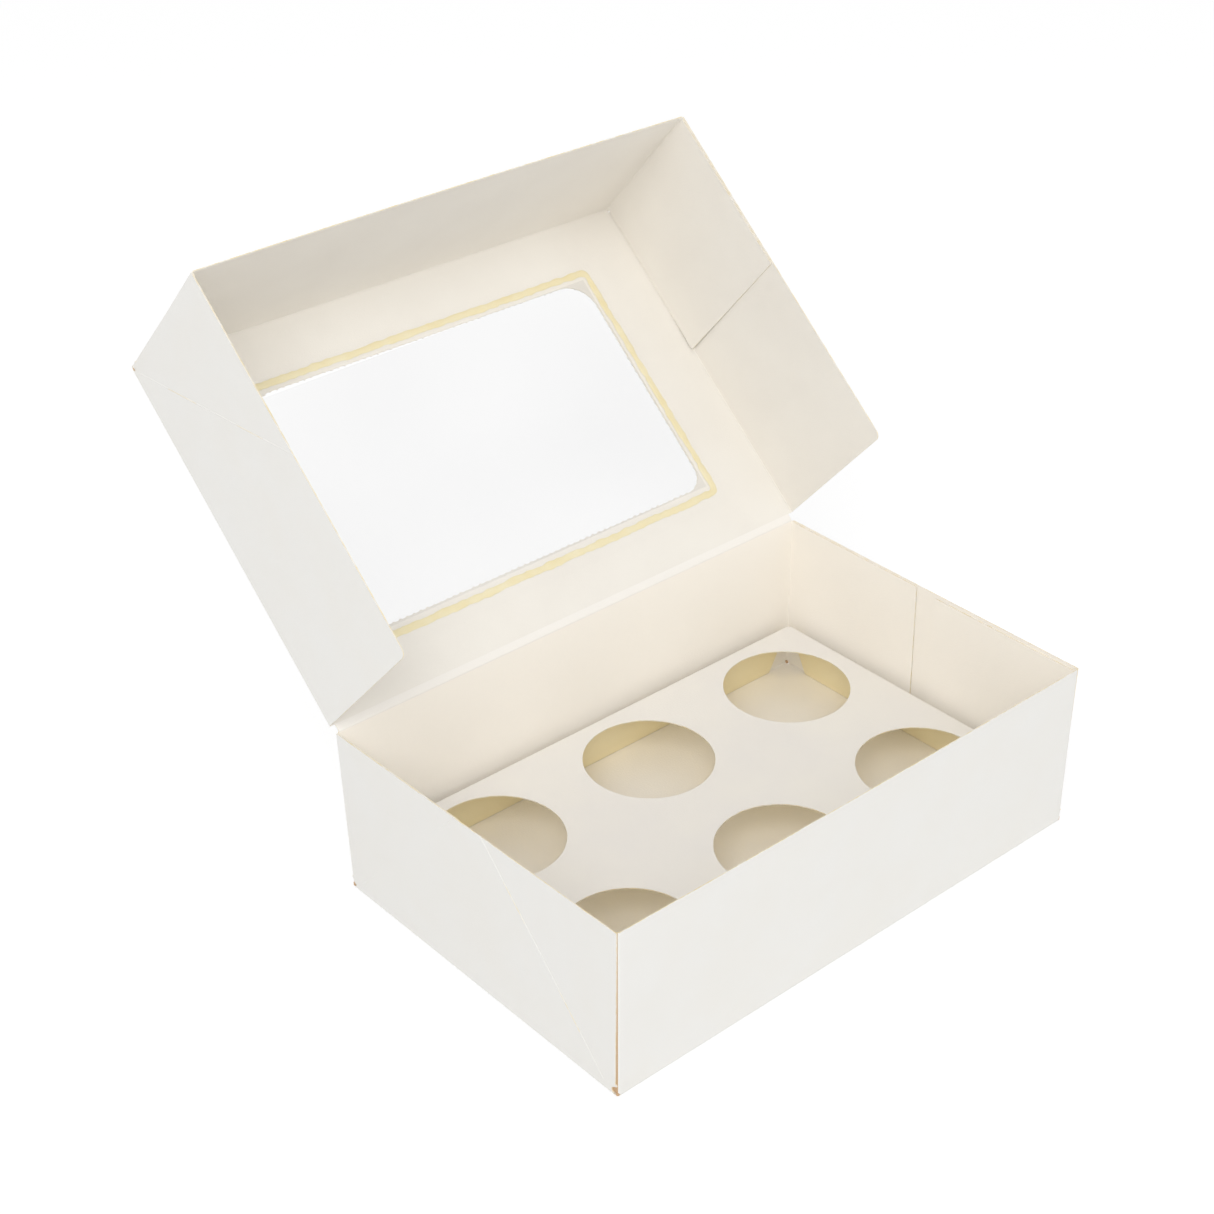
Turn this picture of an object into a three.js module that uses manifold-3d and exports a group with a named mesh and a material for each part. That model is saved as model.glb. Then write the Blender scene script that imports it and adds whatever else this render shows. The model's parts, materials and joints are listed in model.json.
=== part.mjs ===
// Six-hole cupcake box of folded card, standing open, with a window film glued inside its lid
// and a folded card insert that holds the cakes.
// Millimetres, +Z up. The origin is the centre of the tray's underside, +X runs along the hinge
// and +Y runs from the front wall to the hinge.

import * as THREE from 'three';
import { mergeVertices } from 'three/addons/utils/BufferGeometryUtils.js';
import Module from 'manifold-3d';

const wasm = await Module();
wasm.setup();

// Card and its folds
const cardThickness = 0.45;
const foldRadius = 0.9; // outside radius of a creased fold
const foldSteps = 5; // straight facets in a right-angle fold
const foldLap = 9; // flat run that a side wall's strip shares with its floor or panel
const glueBite = 0.05; // how far a glued tab sinks into the wall it is glued to
const cutMargin = 5; // how far a cutting outline reaches past the card

// Tray
const trayLength = 240; // outside, along the hinge
const trayDepth = 156.5; // outside, front to back
const trayHeight = 73.5; // table to rim
const frontTabLength = 74; // glued tabs that run back from the front corners
const backTabLength = 72.5; // glued tabs that run forward from the back corners
const frontTabDrop = 1.5; // how far a tab's top edge lies under the rim
const backTabDrop = 0.5;
const tabSlant = 1.2; // how far a tab's free edge leans, bottom against top
const tabFoot = 1.2; // a tab's bottom edge above the underside
const tabChamfer = 1.6; // clipped corner where a tab's top edge leaves its fold

// Corners where a side wall's cut edge meets the folded wall
const slotTop = 0.6; // slot between the cut edge and the folded wall, at the open edge
const slotFoot = 1.5; // the same, at the creased edge
const reliefLength = 3.2; // clipped hole where three creases meet
const reliefHeight = 3.2;

// Diagonal cut-creases on the side walls, from the front's creased corners to the open edge
const slitWidth = 0.4;
const slitLength = 17;
const slitStarts = [24.5, 68.5]; // along the crease, from the creased edge
const trayCreaseFoot = 3.9; // where the tray's diagonals leave the creased edge, from the front
const trayCreaseTop = 71.4; // where they reach the open edge
const lidCreaseFoot = 1;
const lidCreaseTop = 76;

// Hinge crease between the tray's back wall and the lid
const hingeRise = 2; // the crease above the rim
const hingeOverhang = 1.2; // the crease behind the back wall's outer face
const hingeBeadRadius = 0.5;
const hingeBeadSides = 12;
const hingeGap = 0.3; // between the crease's bead and the lid's edge
const hingeNeck = 0.1; // the back wall's bend starts this far above the rim
const lidOpenAngle = 138.7; // degrees from closed, as it stands

// Lid
const lidSidePlay = 0.3; // between a lid tab and the tray's side wall when closed
const lidFrontPlay = 1.45; // between the lid's front wall and the tray's when closed
const lidFootGap = 3.2; // the closed lid's open edge above the table
const lidBackSetback = 1; // a side wall's back edge in front of the hinge
const lidBackRound = 3; // rounded free corner of a lid side wall
const lidTabLength = 73.4;
const lidTabDrop = 0.5;
const cornerSteps = 6;

// Window in the lid, its glue line and its film
const windowLength = 175;
const windowDepth = 104.5;
const windowHingeMargin = 27.2; // hinge to the opening's near edge
const windowRadius = 11;
const windowSteps = 10; // facets in a quarter corner
const glueOffset = 1.8; // opening's edge to the glue line
const glueHingeOffset = 2.8; // the same, on the hinge side
const glueWidth = 3;
const glueThickness = 0.2;
const filmMargin = 7; // film past the opening, at the sides and front
const filmHingeMargin = 11; // the same, on the hinge side
const filmThickness = 0.2;
const seatGap = 0.3; // between faces that rest on or are glued to each other
const filmRadius = 1; // film's corners

// Insert
const insertTop = 25.5; // its platform's top face above the table
const insertPlayLength = 0.4; // from its end legs' feet to the glued tabs
const insertPlayDepth = 0.8; // from its side legs' feet to the front and back walls
const legSplay = 5.1; // how far a leg's foot stands out past the platform's edge
const legSlant = 0.22; // a leg's end leans in by this share of its height
const legCornerNotch = 1.4; // platform corner cut between two legs
const holeDiameter = 53.7;
const holePitchLength = 78.5;
const holePitchDepth = 76.6;
const holeColumns = 3;
const holeRows = 2;
const holeSteps = 72; // facets round a hole

// Worked out from the sizes above
const halfCard = cardThickness / 2;
const halfLength = trayLength / 2;
const halfDepth = trayDepth / 2;
const hingeY = halfDepth + hingeOverhang;
const hingeZ = trayHeight + hingeRise;
const lidHalfLength = halfLength + lidSidePlay + 2 * cardThickness;
const lidDepth = trayDepth + hingeOverhang + lidFrontPlay + cardThickness;
const lidWallHeight = hingeZ + halfCard - lidFootGap;
const lidFoot = halfCard - lidWallHeight; // the lid walls' open edge, below the panel

// Local frames for extrusions: the outline's two axes and the direction it is drawn out
const extrusionAxes = {
  x: [new THREE.Vector3(0, 1, 0), new THREE.Vector3(0, 0, 1), new THREE.Vector3(1, 0, 0)],
  y: [new THREE.Vector3(1, 0, 0), new THREE.Vector3(0, 0, 1), new THREE.Vector3(0, -1, 0)],
  z: [new THREE.Vector3(1, 0, 0), new THREE.Vector3(0, 1, 0), new THREE.Vector3(0, 0, 1)],
};

const point = (a, b) => new THREE.Vector2(a, b);

// A geometry's closed mesh as a solid that can be joined and cut
function toSolid(geometry) {
  geometry.deleteAttribute('normal');
  geometry.deleteAttribute('uv');
  const merged = mergeVertices(geometry);
  return new wasm.Manifold(new wasm.Mesh({
    numProp: 3,
    vertProperties: new Float32Array(merged.attributes.position.array),
    triVerts: new Uint32Array(merged.index.array),
  }));
}

function toMesh(name, solid, material) {
  const data = solid.getMesh();
  const geometry = new THREE.BufferGeometry();
  geometry.setAttribute('position', new THREE.BufferAttribute(data.vertProperties, 3));
  geometry.setIndex(new THREE.BufferAttribute(data.triVerts, 1));
  geometry.computeVertexNormals();
  const mesh = new THREE.Mesh(geometry, material);
  mesh.name = name;
  return mesh;
}

// An outline drawn out along an axis. Outlines are in (y, z) for x, (x, z) for y and (x, y) for z.
function prism(axis, outline, from, to, holes = []) {
  const shape = new THREE.Shape(outline);
  for (const hole of holes) shape.holes.push(new THREE.Path(hole));
  const geometry = new THREE.ExtrudeGeometry(shape, { depth: to - from, bevelEnabled: false });
  geometry.translate(0, 0, axis === 'y' ? -to : from);
  geometry.applyMatrix4(new THREE.Matrix4().makeBasis(...extrusionAxes[axis]));
  return toSolid(geometry);
}

function joinAll(solids) {
  return solids.reduce((whole, solid) => whole.add(solid));
}

// The middle line of a folded card, with each inner corner turned into an arc
function foldedPath(corners, radius) {
  const path = [corners[0]];
  for (let i = 1; i < corners.length - 1; i += 1) {
    const before = corners[i - 1].clone().sub(corners[i]).normalize();
    const after = corners[i + 1].clone().sub(corners[i]).normalize();
    const half = Math.acos(THREE.MathUtils.clamp(before.dot(after), -1, 1)) / 2;
    const bisector = before.clone().add(after).normalize();
    const centre = corners[i].clone().addScaledVector(bisector, radius / Math.sin(half));
    const start = corners[i].clone().addScaledVector(before, radius / Math.tan(half));
    const end = corners[i].clone().addScaledVector(after, radius / Math.tan(half));
    const first = start.clone().sub(centre);
    const turn = Math.atan2(first.cross(end.clone().sub(centre)), first.dot(end.clone().sub(centre)));
    for (let step = 0; step <= foldSteps; step += 1) {
      const angle = (turn * step) / foldSteps;
      path.push(first.clone().rotateAround(point(0, 0), angle).add(centre));
    }
  }
  path.push(corners[corners.length - 1]);
  return path;
}

// The outline of a strip of card that follows a path
function cardStrip(corners, radius = foldRadius - halfCard) {
  const path = foldedPath(corners, radius);
  const left = [];
  const right = [];
  path.forEach((here, i) => {
    const into = here.clone().sub(path[Math.max(i - 1, 0)]).normalize();
    const out = path[Math.min(i + 1, path.length - 1)].clone().sub(here).normalize();
    if (i === 0) into.copy(out);
    if (i === path.length - 1) out.copy(into);
    const along = into.add(out).normalize();
    const normal = point(-along.y, along.x);
    const reach = halfCard / Math.max(normal.dot(point(-out.y, out.x)), halfCard);
    left.push(here.clone().addScaledVector(normal, reach));
    right.push(here.clone().addScaledVector(normal, -reach));
  });
  return [...left, ...right.reverse()];
}

// A rectangle with round corners, anticlockwise
function roundedRectangle(x0, y0, x1, y1, radius, steps) {
  const centres = [[x1 - radius, y1 - radius], [x0 + radius, y1 - radius],
    [x0 + radius, y0 + radius], [x1 - radius, y0 + radius]];
  const points = [];
  centres.forEach(([cx, cy], corner) => {
    for (let step = 0; step <= steps; step += 1) {
      const angle = (corner + step / steps) * Math.PI / 2;
      points.push(point(cx + radius * Math.cos(angle), cy + radius * Math.sin(angle)));
    }
  });
  return points;
}

function circle(cx, cy, radius, steps) {
  return Array.from({ length: steps }, (_, i) => {
    const angle = (i / steps) * 2 * Math.PI;
    return point(cx + radius * Math.cos(angle), cy + radius * Math.sin(angle));
  });
}

// A side wall's outline in (y, z), with its clipped creased corners and slanted cut edges
function sideWallOutline(front, back, crease, open, frontEdges, backEdges) {
  const up = Math.sign(open - crease);
  return [
    point(front + frontEdges.relief, crease - up * cutMargin),
    point(front + frontEdges.relief, crease),
    point(front + frontEdges.foot, crease + up * frontEdges.reliefHeight),
    point(front + frontEdges.top, open),
    point(front + frontEdges.top, open + up * cutMargin),
    point(back - backEdges.top, open + up * cutMargin),
    point(back - backEdges.top, open),
    point(back - backEdges.foot, crease + up * backEdges.reliefHeight),
    point(back - backEdges.relief, crease),
    point(back - backEdges.relief, crease - up * cutMargin),
  ];
}

const foldedCorner = {
  top: slotTop, foot: slotFoot, relief: reliefLength, reliefHeight,
};

// Slits along a diagonal crease, cut through a side wall but not the tab glued behind it.
// The crease runs from foot to top, two points in (y, z).
function diagonalSlits(side, outerX, foot, top) {
  const along = top.clone().sub(foot).normalize();
  const across = point(-along.y, along.x).multiplyScalar(slitWidth / 2);
  const inner = outerX - side * (cardThickness - glueBite);
  const outer = outerX + side * cutMargin;
  return slitStarts.map((start) => {
    const first = foot.clone().addScaledVector(along, start);
    const last = first.clone().addScaledVector(along, slitLength);
    const outline = [first.clone().add(across), first.clone().sub(across),
      last.clone().sub(across), last.clone().add(across)];
    if (THREE.ShapeUtils.area(outline) < 0) outline.reverse();
    return prism('x', outline, Math.min(inner, outer), Math.max(inner, outer));
  });
}

// A corner: the end wall's last run, its upright fold and the tab glued inside the side wall.
// End is +1 at the wall whose outer face is at endY, seen from the middle of the box.
function cornerTab(side, innerX, endY, end, tabLength, outline, from, to) {
  const wallY = endY - end * halfCard;
  const tabX = side * (innerX - halfCard + glueBite);
  const corners = [
    point(tabX - side * foldLap, wallY),
    point(tabX, wallY),
    point(tabX, endY - end * (tabLength + tabSlant)),
  ];
  const strip = prism('z', cardStrip(corners), from, to);
  return strip.intersect(prism('x', outline, -innerX - cutMargin, innerX + cutMargin));
}

// A tab's outline in (y, z): full height at the fold, then a clipped corner and a lower free edge
function tabOutline(endY, end, tabLength, crease, open, drop) {
  const up = Math.sign(open - crease);
  const foldY = endY - end * foldRadius;
  return [
    point(endY + end * cutMargin, crease),
    point(endY - end * (tabLength + tabSlant), crease),
    point(endY - end * tabLength, open - up * drop),
    point(foldY - end * tabChamfer, open - up * drop),
    point(foldY, open),
    point(endY + end * cutMargin, open),
  ];
}

function sideStrip(side, halfWidth, creaseZ, openZ, from, to, outline) {
  const wallX = side * (halfWidth - halfCard);
  const corners = [
    point(wallX - side * foldLap, creaseZ), point(wallX, creaseZ), point(wallX, openZ)];
  const strip = prism('y', cardStrip(corners), from, to);
  return strip.intersect(prism('x', outline, -halfWidth - cutMargin, halfWidth + cutMargin));
}

function makeTray() {
  const innerX = halfLength - cardThickness;
  const stripX = innerX - foldRadius;
  const frontTab = tabOutline(-halfDepth, -1, frontTabLength, tabFoot, trayHeight, frontTabDrop);
  const backTab = tabOutline(halfDepth, 1, backTabLength, tabFoot, trayHeight, backTabDrop);
  const wall = sideWallOutline(-halfDepth, halfDepth, 0, trayHeight, foldedCorner, foldedCorner);
  const floorAndEnds = cardStrip([
    point(halfCard - halfDepth, trayHeight),
    point(halfCard - halfDepth, halfCard),
    point(halfDepth - halfCard, halfCard),
    point(halfDepth - halfCard, trayHeight + hingeNeck),
    point(hingeY, hingeZ - hingeBeadRadius / 2),
  ]);
  const parts = [
    prism('x', floorAndEnds, -stripX, stripX),
    prism('x', circle(hingeY, hingeZ, hingeBeadRadius, hingeBeadSides), -stripX, stripX),
  ];
  const creaseFoot = point(trayCreaseFoot - halfDepth, 0);
  const creaseTop = point(trayCreaseTop - halfDepth, trayHeight);
  const cuts = [];
  for (const side of [-1, 1]) {
    parts.push(
      sideStrip(side, halfLength, halfCard, trayHeight, -halfDepth, halfDepth, wall),
      cornerTab(side, innerX, -halfDepth, -1, frontTabLength, frontTab, tabFoot, trayHeight),
      cornerTab(side, innerX, halfDepth, 1, backTabLength, backTab, tabFoot, trayHeight),
    );
    cuts.push(...diagonalSlits(side, side * halfLength, creaseFoot, creaseTop));
  }
  return joinAll(parts).subtract(joinAll(cuts));
}

// The lid is modelled closed, with the hinge at its origin and its panel reaching to -Y
function makeLid() {
  const front = -lidDepth;
  const near = -(hingeBeadRadius + hingeGap);
  const innerX = lidHalfLength - cardThickness;
  const stripX = innerX - foldRadius;
  const panelAndFront = cardStrip([
    point(near, 0), point(front + halfCard, 0), point(front + halfCard, lidFoot)]);
  const backEdges = {
    top: lidBackSetback, foot: lidBackSetback, relief: -near, reliefHeight: foldRadius,
  };
  const wall = sideWallOutline(front, 0, halfCard, lidFoot, foldedCorner, backEdges);
  const tab = tabOutline(front, -1, lidTabLength, halfCard - tabFoot, lidFoot, lidTabDrop);
  const parts = [prism('x', panelAndFront, -stripX, stripX)];
  const creaseFoot = point(front + lidCreaseFoot, halfCard);
  const creaseTop = point(front + lidCreaseTop, lidFoot);
  const cuts = [prism('z', windowOutline(0), -cutMargin, cutMargin)];
  for (const side of [-1, 1]) {
    parts.push(
      sideStrip(side, lidHalfLength, 0, lidFoot, front, near, wall),
      cornerTab(side, innerX, front, -1, lidTabLength, tab, lidFoot, halfCard - tabFoot),
    );
    cuts.push(...diagonalSlits(side, side * lidHalfLength, creaseFoot, creaseTop));
  }
  cuts.push(backCornerRound());
  return joinAll(parts).subtract(joinAll(cuts));
}

// What a lid side wall's rounded free corner leaves off
function backCornerRound() {
  const cornerY = -lidBackSetback;
  const outline = [point(cornerY + cutMargin, lidFoot - cutMargin),
    point(cornerY + cutMargin, lidFoot + lidBackRound)];
  for (let step = 0; step <= cornerSteps; step += 1) {
    const angle = (step / cornerSteps) * Math.PI / 2;
    outline.push(point(
      cornerY - lidBackRound + lidBackRound * Math.cos(angle),
      lidFoot + lidBackRound - lidBackRound * Math.sin(angle),
    ));
  }
  outline.push(point(cornerY - lidBackRound, lidFoot - cutMargin));
  const reach = lidHalfLength + cutMargin;
  return prism('x', outline.reverse(), -reach, reach);
}

// The window's outline in the lid's plane, grown by one margin, or another on the hinge side
function windowOutline(margin, hingeMargin = margin, radius = windowRadius + margin) {
  const halfX = windowLength / 2 + margin;
  const nearY = hingeMargin - windowHingeMargin;
  const farY = -windowHingeMargin - windowDepth - margin;
  return roundedRectangle(-halfX, farY, halfX, nearY, radius, windowSteps);
}

const glueTop = -halfCard - seatGap;
const filmTop = glueTop - glueThickness - seatGap;

function makeGlueLine() {
  const outer = windowOutline(glueOffset + glueWidth, glueHingeOffset + glueWidth, glueWidth);
  const inner = windowOutline(glueOffset, glueHingeOffset, filmRadius);
  return prism('z', outer, glueTop - glueThickness, glueTop, [inner.reverse()]);
}

function makeFilm() {
  const outline = windowOutline(filmMargin, filmHingeMargin, filmRadius);
  return prism('z', outline, filmTop - filmThickness, filmTop);
}

// A leg's outline, full length at its fold and slanted in towards its foot
function legOutline(halfRun, foot, crease) {
  const top = halfRun - legCornerNotch;
  const bottom = top - legSlant * (crease - foot);
  return [point(-bottom, foot), point(bottom, foot), point(top, crease),
    point(top, crease + cutMargin), point(-top, crease + cutMargin), point(-top, crease)];
}

function makeInsert() {
  const footX = halfLength - 2 * cardThickness + glueBite - insertPlayLength;
  const footY = halfDepth - cardThickness - insertPlayDepth;
  const halfX = footX - legSplay;
  const halfY = footY - legSplay;
  const foot = cardThickness + seatGap;
  const middle = insertTop - halfCard;
  const crease = insertTop - foldRadius;
  const endLegs = cardStrip([
    point(halfCard - footY, foot), point(halfCard - halfY, middle),
    point(halfY - halfCard, middle), point(footY - halfCard, foot)]);
  const sideLegs = cardStrip([
    point(halfCard - footX, foot), point(halfCard - halfX, middle),
    point(halfX - halfCard, middle), point(footX - halfCard, foot)]);
  const folded = [
    prism('x', endLegs, -halfX, halfX)
      .intersect(prism('y', legOutline(halfX, foot, crease), -halfDepth, halfDepth)),
    prism('y', sideLegs, -halfY, halfY)
      .intersect(prism('x', legOutline(halfY, foot, crease), -halfLength, halfLength)),
  ];
  const holes = [];
  for (let column = 0; column < holeColumns; column += 1) {
    for (let row = 0; row < holeRows; row += 1) {
      const x = (column - (holeColumns - 1) / 2) * holePitchLength;
      const y = (row - (holeRows - 1) / 2) * holePitchDepth;
      const outline = circle(x, y, holeDiameter / 2, holeSteps);
      holes.push(prism('z', outline, crease - cutMargin, insertTop + cutMargin));
    }
  }
  return joinAll(folded).subtract(joinAll(holes));
}

const card = new THREE.MeshStandardMaterial({ color: 0xf1eee6, roughness: 0.8, metalness: 0 });
const lidCard = card.clone();
const insertCard = new THREE.MeshStandardMaterial({ color: 0xf3efe7, roughness: 0.75, metalness: 0 });
const clearFilm = new THREE.MeshStandardMaterial({
  color: 0xf8f9fa, roughness: 0.08, metalness: 0, transparent: true, opacity: 0.3,
});
const driedGlue = new THREE.MeshStandardMaterial({ color: 0xece5c4, roughness: 0.4, metalness: 0 });

const group = new THREE.Group();
group.add(toMesh('base_tray', makeTray(), card));
group.add(toMesh('cupcake_insert', makeInsert(), insertCard));

const openLid = new THREE.Group();
openLid.position.set(0, hingeY, hingeZ);
openLid.rotation.x = -THREE.MathUtils.degToRad(lidOpenAngle);
openLid.add(toMesh('lid', makeLid(), lidCard));
openLid.add(toMesh('window_film', makeFilm(), clearFilm));
openLid.add(toMesh('window_glue', makeGlueLine(), driedGlue));
group.add(openLid);

export default group;
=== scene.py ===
import json
import math
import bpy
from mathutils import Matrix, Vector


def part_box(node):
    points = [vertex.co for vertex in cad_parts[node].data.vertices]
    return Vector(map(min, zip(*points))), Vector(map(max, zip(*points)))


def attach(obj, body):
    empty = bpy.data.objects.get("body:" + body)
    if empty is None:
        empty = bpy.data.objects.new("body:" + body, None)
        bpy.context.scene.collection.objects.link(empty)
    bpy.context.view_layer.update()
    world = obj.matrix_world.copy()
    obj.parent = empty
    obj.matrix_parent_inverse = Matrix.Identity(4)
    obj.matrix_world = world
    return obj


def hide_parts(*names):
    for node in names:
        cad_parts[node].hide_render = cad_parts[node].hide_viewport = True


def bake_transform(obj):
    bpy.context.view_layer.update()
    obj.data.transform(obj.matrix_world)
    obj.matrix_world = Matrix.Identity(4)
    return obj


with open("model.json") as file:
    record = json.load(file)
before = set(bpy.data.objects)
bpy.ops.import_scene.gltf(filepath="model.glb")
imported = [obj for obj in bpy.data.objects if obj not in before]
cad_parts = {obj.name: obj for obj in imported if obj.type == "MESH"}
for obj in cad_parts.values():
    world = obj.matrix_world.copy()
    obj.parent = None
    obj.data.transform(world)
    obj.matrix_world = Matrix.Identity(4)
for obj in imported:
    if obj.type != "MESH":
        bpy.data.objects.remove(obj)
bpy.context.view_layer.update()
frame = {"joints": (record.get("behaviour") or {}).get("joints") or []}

from types import SimpleNamespace

import bmesh
import bpy
from bpy.props import FloatProperty, FloatVectorProperty, PointerProperty
from mathutils import Matrix, Vector, noise

bl_info = {
    "name": "Cupcake Box",
    "version": (1, 0, 0),
    "blender": (4, 5, 0),
    "location": "3D View > Sidebar > Cupcake Box",
    "description": "Folded card cupcake box with a windowed lid, a glued film and a six-hole insert",
    "category": "Add Mesh",
}

MM = 0.001
HINGE = next(joint for joint in frame["joints"] if joint["name"] == "lid_hinge")
CLOSED_ANGLE = -math.radians(HINGE["range_deg"][0])
TRAY_LOW, TRAY_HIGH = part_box("base_tray")
_, LID_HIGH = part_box("lid")
INSERT_LOW, INSERT_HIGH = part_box("cupcake_insert")


def length(label, description, millimetres):
    """A size that the user can change, kept in metres."""
    return FloatProperty(
        name=label, description=description, default=millimetres * MM, precision=5, unit="LENGTH")


def angle(label, description, degrees):
    return FloatProperty(
        name=label, description=description, default=math.radians(degrees), subtype="ANGLE")


def colour(label, description, red, green, blue):
    """A colour as the eye sees it on a screen, from 0 to 1."""
    return FloatVectorProperty(
        name=label, description=description, default=(red, green, blue), size=3,
        min=0.0, max=1.0, subtype="COLOR_GAMMA")


class CardSizes(bpy.types.PropertyGroup):
    """The card and how it folds."""

    thickness: length("Card", "Thickness of the card", 0.45)
    fold: length("Fold radius", "Outside radius of a creased fold", 0.9)
    glue_gap: length("Glue gap", "Between a glued tab and the wall in front of it", 0.05)
    bead: length("Crease bead", "Radius of the ridge that a crease raises inside a fold", 0.28)
    emboss: length("Embossed line", "Half width of the raised line along a diagonal crease", 0.3)
    slit: length("Slit width", "Width of the cuts along a diagonal crease", 0.22)
    slit_edge: length("Slit edge", "Radius of the raw card that shows along a slit", 0.13)
    # Painted shade: the radius of the dark line under a lid tab.
    tab_gap_shade: length("Tab gap", "Radius of the raw card that shows under a lid tab", 0.22)
    pinch: length("Corner pinch", "Radius of the pinched card in a corner", 0.75)


class TraySizes(bpy.types.PropertyGroup):
    """The tray, from its outer faces."""

    size_x: length("Length", "Outside, along the hinge", 2 * TRAY_HIGH.x / MM)
    size_y: length("Depth", "Outside, front to back", -2 * TRAY_LOW.y / MM)
    height: length("Height", "From the table to the rim", 73.5)
    front_tab: length("Front tab", "How far a front corner's glued tab runs back", 74)
    back_tab: length("Back tab", "How far a back corner's glued tab runs forward", 72.5)
    front_drop: length("Front tab drop", "A front tab's top edge below the rim", 1.5)
    back_drop: length("Back tab drop", "A back tab's top edge below the rim", 0.5)
    bow: length("Front bow", "How far the middle of the front rim leans out", 0.5)
    tab_lift: length("Tab lift", "How far a tab's free edge stands off the wall", 0.12)
    spring: length("Spring", "How far the back left corner's top leans out", 2.2)


class LidSizes(bpy.types.PropertyGroup):
    """The lid, from its outer faces."""

    size_x: length("Length", "Outside, along the hinge", 2 * LID_HIGH.x / MM)
    depth: length("Depth", "From the hinge to the outside of its front wall", 159.6)
    height: length("Height", "Outside height of its walls", 73.2)
    spring: length("Spring", "How far the panel's left end stands out past the wall's open edge", 2.3)
    tab: length("Tab", "How far a front corner's glued tab runs back", 73.4)
    tab_drop: length("Tab drop", "A tab's edge short of the wall's open edge", 0.5)
    tab_lift: length("Tab lift", "How far a tab's free edge stands off the wall", 0.9)
    setback: length("Setback", "A side wall's back edge in front of the hinge", 1.0)
    corner: length("Corner radius", "Rounded free corner of a side wall", 3.0)
    near_edge: length("Near edge", "Where the panel starts, from the hinge line", 0.9)
    twist: angle("Twist", "How much further open the lid's ends are than its middle", 0.55)
    bow: length("Front bow", "How far the middle of the front wall's edge leans in", -0.6)


class WindowSizes(bpy.types.PropertyGroup):
    """The window, its glue line and its film, on the lid's panel."""

    size_x: length("Length", "Opening along the hinge", 175)
    size_y: length("Depth", "Opening across the hinge", 104.5)
    margin: length("Hinge margin", "From the hinge to the opening", 27.2)
    near_radius: length("Near radius", "Corner radius on the hinge side", 9)
    far_radius: length("Far radius", "Corner radius on the front side", 13)
    nick_pitch: length("Nick pitch", "Between the nicks that the die left round the opening", 3.3)
    nick_reach: length("Nick reach", "How far a nick stands into the opening", 0.42)
    nick_radius: length("Nick radius", "Radius of a nick", 0.85)
    glue_offset: length("Glue offset", "From the opening to the middle of the glue line", 3.3)
    glue_hinge: length("Glue offset at hinge", "The same, on the hinge side", 4.4)
    glue_width: length("Glue width", "Width of the glue line", 3.0)
    glue_height: length("Glue height", "Thickness of the glue line", 0.4)
    film_margin: length("Film margin", "Film past the opening at the ends and the front", 7)
    film_hinge: length("Film hinge margin", "Film past the opening on the hinge side", 11)
    film_seat: length("Film seat", "From the panel's middle to the film", 0.72)
    film_thickness: length("Film thickness", "Thickness of the film", 0.1)
    film_ripple: length("Film ripple", "Height of the ripples in the film", 0.22)


class InsertSizes(bpy.types.PropertyGroup):
    """The insert that holds the cakes."""

    top: length("Top", "The platform's top above the table", INSERT_HIGH.z / MM)
    foot: length("Foot", "The legs' lower edge above the table", INSERT_LOW.z / MM)
    notch: length("Corner notch", "Cut from the platform's corners between two legs", 1.4)
    splay: length("Leg splay", "How far a leg's foot stands out past the platform's edge", 5.1)
    hole: length("Hole", "Diameter of a hole", 53.7)
    pitch_x: length("Pitch along", "Between the holes along the hinge", 78.5)
    pitch_y: length("Pitch across", "Between the holes across the hinge", 76.6)
    sag: length("Sag", "How far the middle of the platform has sunk", 0.35)
    slant: angle("Leg slant", "How far a leg's ends lean in", 12.4)


class Finishes(bpy.types.PropertyGroup):
    """Colours of the box, as seen in even white light. The tray's inside and the insert's underside hold
    painted light, and the slot colour holds painted shade.
    """

    outside: colour("Outside", "Coated outside of the card", 0.932, 0.927, 0.912)
    outside_patch: colour("Outside patches", "Warmer patches of the outside", 0.93, 0.922, 0.902)
    inside: colour("Inside", "Uncoated inside of the lid", 0.94, 0.922, 0.89)
    inside_patch: colour("Inside patches", "Warmer patches of the inside", 0.952, 0.936, 0.905)
    # Painted light: brighter than the card itself, standing in for light that shines through the thin walls
    # and floor into the tray.
    tray_inside: colour("Tray inside", "Uncoated inside of the tray, lit from below", 1.0, 0.98, 0.945)
    insert_top: colour("Insert top", "Upper face of the insert", 0.935, 0.92, 0.9)
    # Partly the underside's own warmer colour, partly painted light: brighter and warmer, standing in for
    # light that shines through the card into the holes and onto the legs.
    insert_under: colour("Insert underside", "Face of the insert towards the table", 1.0, 0.95, 0.8)
    cut_edge: colour("Cut edge", "Board that shows along a cut", 0.93, 0.87, 0.72)
    # Painted shade: a brown that stands in for the shade deep in a corner slot, also used for the dark
    # lines under the lid's tabs and in the tray's corners.
    slot: colour("Slot", "The tab's raw card, seen through the slot at a corner", 0.8, 0.67, 0.53)
    # About the inside card's own colour, without the painted light of the tray's inside; used on the hinge
    # crease and on the tray's inside above the rim.
    crease: colour("Crease", "Inside of the hinge crease, rubbed by bending", 0.965, 0.95, 0.925)
    film: colour("Film", "Clear film", 0.62, 0.62, 0.63)
    glue: colour("Glue", "Dried glue where it is thin", 0.955, 0.925, 0.81)
    glue_deep: colour("Deep glue", "Dried glue where it is thick", 0.93, 0.87, 0.67)


def lerp(low, high, share):
    return low + (high - low) * share


def spaced(low, high, step):
    """Even positions from low to high, about a step apart."""
    count = max(1, round((high - low) / step))
    return [lerp(low, high, index / count) for index in range(count + 1)]


def along_stops(position, stops):
    """The value at a position between (position, value) stops."""
    if position <= stops[0][0]:
        return stops[0][1]
    for (low, low_value), (high, high_value) in zip(stops, stops[1:]):
        if position <= high:
            return lerp(low_value, high_value, (position - low) / (high - low))
    return stops[-1][1]


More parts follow.
